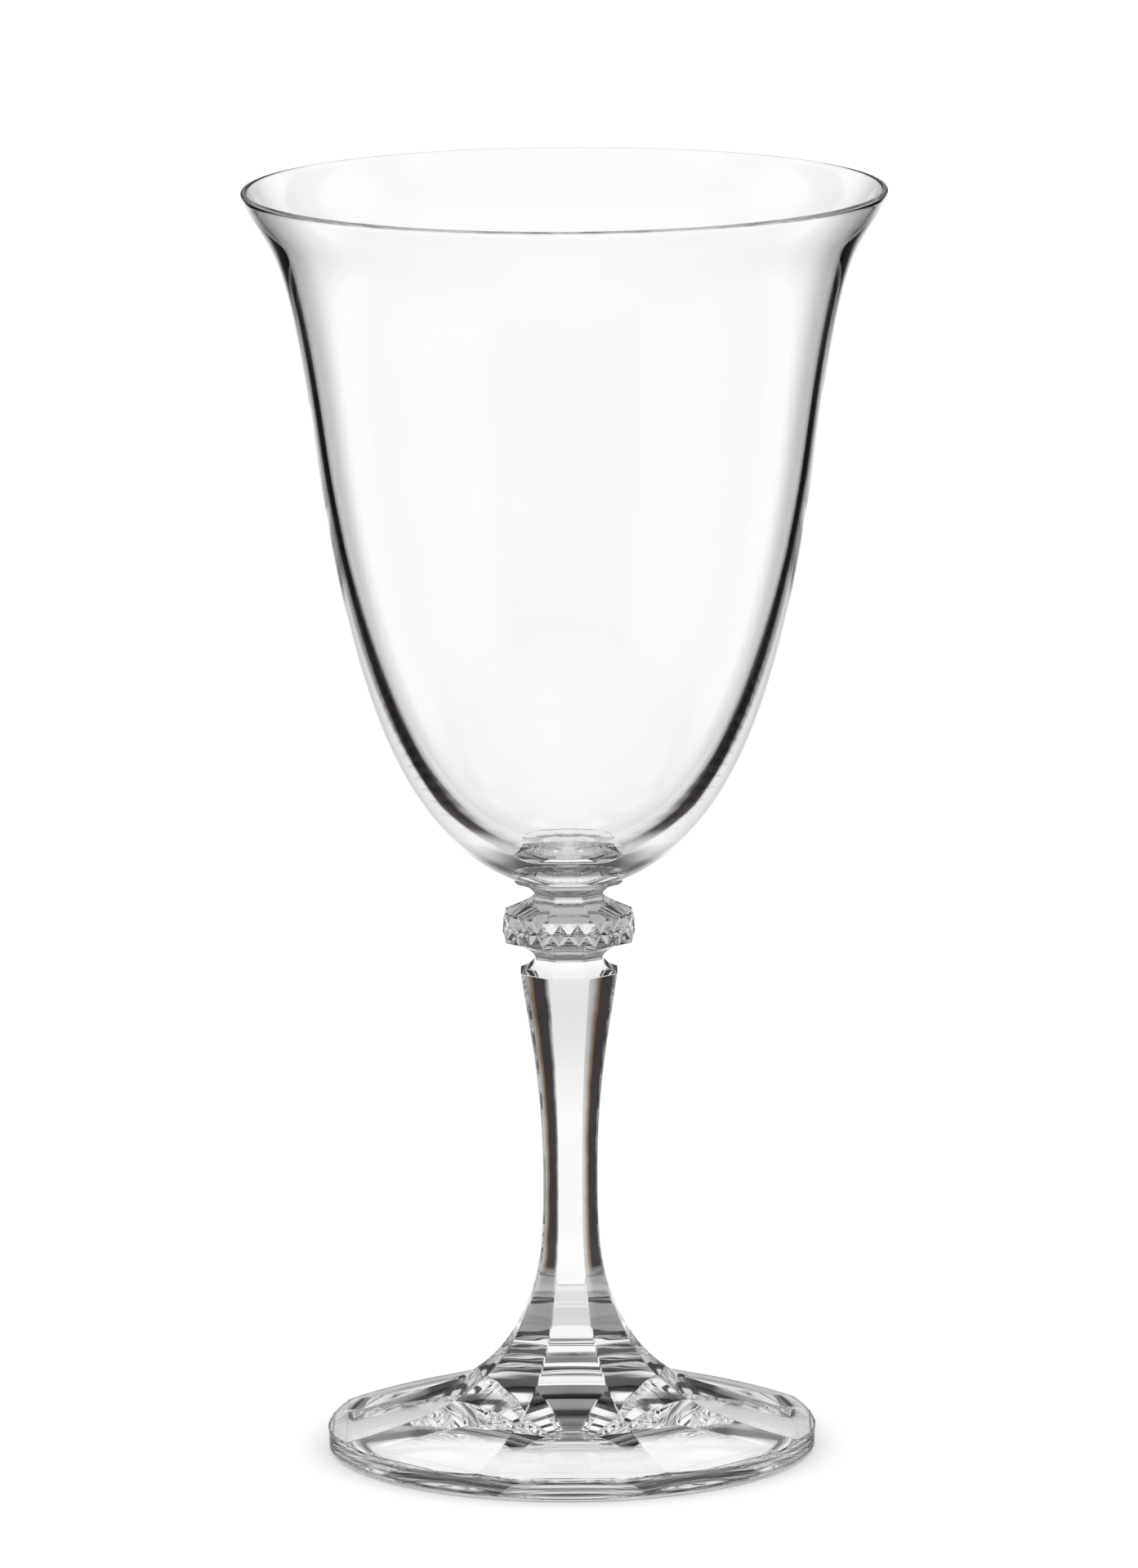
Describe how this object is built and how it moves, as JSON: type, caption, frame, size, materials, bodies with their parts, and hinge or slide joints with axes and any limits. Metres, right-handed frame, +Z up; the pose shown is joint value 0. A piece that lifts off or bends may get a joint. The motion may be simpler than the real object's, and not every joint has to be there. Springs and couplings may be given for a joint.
{
  "type": "wine glass",
  "caption": "Clear red wine glass with a thin flared bowl, a cut diamond knop, a faceted stem and a round panelled foot, for serving wine at table.",
  "frame": {"origin": "centre of the standing ring under the foot, on the table", "axes": "+Z up the glass's axis, a flat side of the stem and foot faces -Y"},
  "size_m": [0.0954, 0.0954, 0.19],
  "materials": {
    "pressed_crystal": "clear, fire polished, sharp ridges",
    "blown_crystal": "clear, thin blown, smooth"
  },
  "bodies": {
    "root": {"foot": "pressed_crystal", "stem": "pressed_crystal", "knop": "pressed_crystal", "bowl_merese": "pressed_crystal", "bowl": "blown_crystal"}
  },
  "joints": []
}
